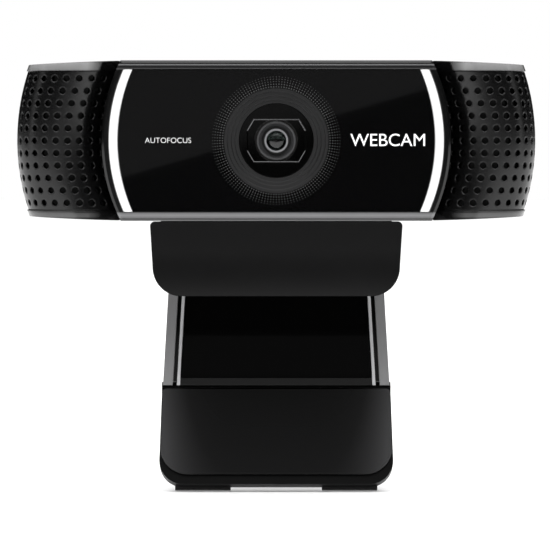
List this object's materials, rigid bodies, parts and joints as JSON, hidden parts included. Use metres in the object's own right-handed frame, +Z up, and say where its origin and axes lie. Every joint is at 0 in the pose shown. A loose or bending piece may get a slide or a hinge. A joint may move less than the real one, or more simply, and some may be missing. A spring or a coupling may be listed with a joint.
{
  "type": "webcam",
  "caption": "Wide webcam with a central autofocus lens and perforated microphone pods, tilting on a folding monitor clip with a threaded tripod socket underneath.",
  "frame": {"origin": "centre of the tripod thread's mouth, on the underside of the clip's plate", "axes": "+Z up, +X towards the viewer's right when facing the lens, and the lens looks along -Y"},
  "size_m": [0.0946, 0.0273, 0.0787],
  "materials": {
    "shell_black": "black polished plastic",
    "frame_black": "black polished plastic",
    "window_black": "black glossy plastic, tinted through",
    "light_pipe": "milky clear plastic",
    "grille_black": "satin black moulded plastic",
    "acoustic_cloth": "black acoustic cloth",
    "ring_grey": "dark grey satin plastic",
    "lens_black": "flat black plastic",
    "lens_glass": "coated optical glass",
    "filter_glass": "blue-tinted filter glass",
    "magnet_steel": "nickel-plated magnet",
    "copper": "enamelled copper wire",
    "board_green": "green solder mask",
    "chip_black": "black epoxy",
    "sensor_glass": "covered silicon",
    "connector_white": "natural nylon",
    "led_emitter": "clear epoxy",
    "can_tin": "tinned steel",
    "microphone_metal": "drawn can",
    "rubber_black": "soft black rubber",
    "screw_steel": "blackened steel",
    "pin_steel": "ground steel pin",
    "bracket_steel": "black-coated pressed steel",
    "clip_black": "fine-textured black plastic",
    "insert_brass": "turned brass",
    "arm_grey": "dark grey satin plastic",
    "panel_black": "black polished plastic",
    "grip_rubber": "satin soft-touch rubber"
  },
  "bodies": {
    "clip": {"clip_plate": "clip_black", "clip_liner": "rubber_black", "lip_pad": "rubber_black", "tripod_insert": "insert_brass", "tilt_pins": "pin_steel", "tilt_washers": "pin_steel", "arm_pin": "pin_steel"},
    "camera_head": {"back_cover": "shell_black", "front_frame": "frame_black", "front_window": "window_black", "light_pipe_right": "light_pipe", "light_pipe_left": "light_pipe", "indicator_leds": "led_emitter", "led_boards": "board_green", "grille_right": "grille_black", "grille_left": "grille_black", "grille_cloth_right": "acoustic_cloth", "grille_cloth_left": "acoustic_cloth", "lens_ring": "ring_grey", "lens_shroud": "lens_black", "focus_housing": "chip_black", "focus_magnets": "magnet_steel", "ir_filter": "filter_glass", "filter_carrier": "lens_black", "image_sensor": "sensor_glass", "sensor_board": "board_green", "main_board": "board_green", "board_connector": "connector_white", "video_processor": "chip_black", "memory_chips": "chip_black", "cable_header": "connector_white", "shield_can": "can_tin", "capacitors": "chip_black", "microphone_boot_right": "rubber_black", "microphone_boot_left": "rubber_black", "microphone_right": "microphone_metal", "microphone_left": "microphone_metal", "microphone_boards": "board_green", "shell_screws": "screw_steel", "cable_inlet": "rubber_black", "tilt_bracket": "bracket_steel", "bracket_screws": "screw_steel"},
    "focus_lens": {"lens_barrel": "lens_black", "front_lens": "lens_glass", "inner_lenses": "lens_glass", "focus_coil": "copper"},
    "arm": {"arm_frame": "arm_grey", "arm_panel": "panel_black"},
    "foot": {"foot_shell": "panel_black", "grip_pad": "grip_rubber", "foot_heels": "rubber_black", "foot_screws": "screw_steel", "foot_pin": "pin_steel"}
  },
  "joints": [
    {"name": "camera_tilt", "type": "hinge", "parent": "clip", "child": "camera_head", "pos_m": [0, 0.0015, 0.0044], "axis": [-1, 0, 0], "range_deg": [0, 25]},
    {"name": "focus_travel", "type": "slide", "parent": "camera_head", "child": "focus_lens", "axis": [0, -1, 0], "range_m": [0, 0.0003], "stiffness_N_per_m": 60},
    {"name": "arm_fold", "type": "hinge", "parent": "clip", "child": "arm", "pos_m": [0, 0.0102, 0.0006], "axis": [1, 0, 0], "range_deg": [-15, 106]},
    {"name": "foot_fold", "type": "hinge", "parent": "arm", "child": "foot", "pos_m": [0, 0.00205, -0.0278], "axis": [1, 0, 0], "range_deg": [-15, 80]}
  ]
}
